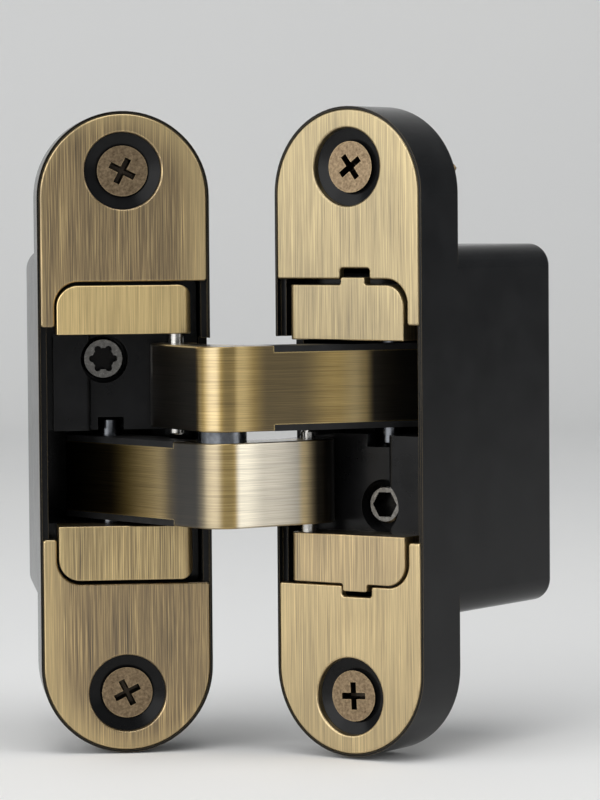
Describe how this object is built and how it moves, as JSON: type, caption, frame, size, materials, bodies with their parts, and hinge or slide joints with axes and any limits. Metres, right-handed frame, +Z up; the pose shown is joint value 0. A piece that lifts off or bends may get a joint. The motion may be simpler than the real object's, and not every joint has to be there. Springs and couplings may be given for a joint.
{
  "type": "concealed door hinge",
  "caption": "Concealed hinge for a flush door: mortised leaves with round ends, joined by crossing arms that fold into adjustable carriages and hide when the door is shut.",
  "frame": {"origin": "midway between the jamb leaf's two wood screws, on the back face of the screw lobes", "axes": "+Y inward, along the jamb's wood screws; +Z up, along the pivot pins; +X across the jamb leaf towards its pull-side edge, where the arms come out and the door stands"},
  "size_m": [0.0917, 0.0672, 0.1123],
  "materials": {
    "black_casting": "satin black coating on a zinc casting",
    "antique_brass": "brushed upright, darkened, with worn bright edges",
    "arm_brass": "brushed along the arm, darkened",
    "steel": "bright turned steel",
    "dark_steel": "polished, darkened",
    "bronzed_screw": "bronzed",
    "black_glide": "matt black, low friction"
  },
  "bodies": {
    "jamb_leaf": {"jamb_housing": "black_casting", "jamb_upper_cover": "antique_brass", "jamb_lower_cover": "antique_brass", "jamb_wood_screws": "bronzed_screw"},
    "jamb_screw": {"jamb_adjusting_screw": "steel", "jamb_screw_clip": "steel"},
    "jamb_carriage_group": {"jamb_carriage": "black_casting", "jamb_upper_end_block": "antique_brass", "jamb_lower_end_block": "antique_brass", "jamb_pivot_pin": "steel"},
    "upper_arm_group": {"upper_arm": "arm_brass", "upper_arm_top_glide": "black_glide", "upper_arm_bottom_glide": "black_glide", "upper_arm_slide_pin": "dark_steel", "centre_pin": "steel", "centre_washer": "dark_steel"},
    "lower_arm_group": {"lower_arm": "arm_brass", "lower_arm_top_glide": "black_glide", "lower_arm_bottom_glide": "black_glide", "lower_arm_slide_pin": "dark_steel"},
    "door_carriage_group": {"door_carriage": "black_casting", "door_upper_end_block": "antique_brass", "door_lower_end_block": "antique_brass", "door_pivot_pin": "steel"},
    "door_leaf": {"door_housing": "black_casting", "door_upper_cover": "antique_brass", "door_lower_cover": "antique_brass", "door_wood_screws": "bronzed_screw", "door_clamp_screw": "steel"}
  },
  "joints": [
    {"name": "side_adjust", "type": "slide", "parent": "jamb_leaf", "child": "jamb_carriage_group", "axis": [0, -1, 0], "range_m": [-0.0015, 0.0015]},
    {"name": "side_screw_turn", "type": "hinge", "parent": "jamb_leaf", "child": "jamb_screw", "pos_m": [-0.0032, 0, 0.0127], "axis": [0, 1, 0], "range_deg": [-541, 541]},
    {"name": "jamb_swing", "type": "hinge", "parent": "jamb_carriage_group", "child": "upper_arm_group", "pos_m": [0.00915, -0.0107, 0], "axis": [0, 0, 1], "range_deg": [-100.17, 29.36]},
    {"name": "arm_fold", "type": "hinge", "parent": "upper_arm_group", "child": "lower_arm_group", "pos_m": [0.01551, -0.02743, 0], "axis": [0, 0, 1], "range_deg": [-17.93, 61.16]},
    {"name": "door_swing", "type": "hinge", "parent": "lower_arm_group", "child": "door_carriage_group", "pos_m": [0.03125, -0.01892, 0], "axis": [0, 0, 1], "range_deg": [-100.18, 29.37]},
    {"name": "height_adjust", "type": "slide", "parent": "door_carriage_group", "child": "door_leaf", "axis": [0, 0, 1], "range_m": [-0.0009, 0.0003]}
  ],
  "couplings": [
    {"joint": "arm_fold", "follows": "jamb_swing", "ratio": -0.61045},
    {"joint": "door_swing", "follows": "jamb_swing", "ratio": 1},
    {"joint": "side_screw_turn", "follows": "side_adjust", "rad_per_m": 6283.2}
  ]
}
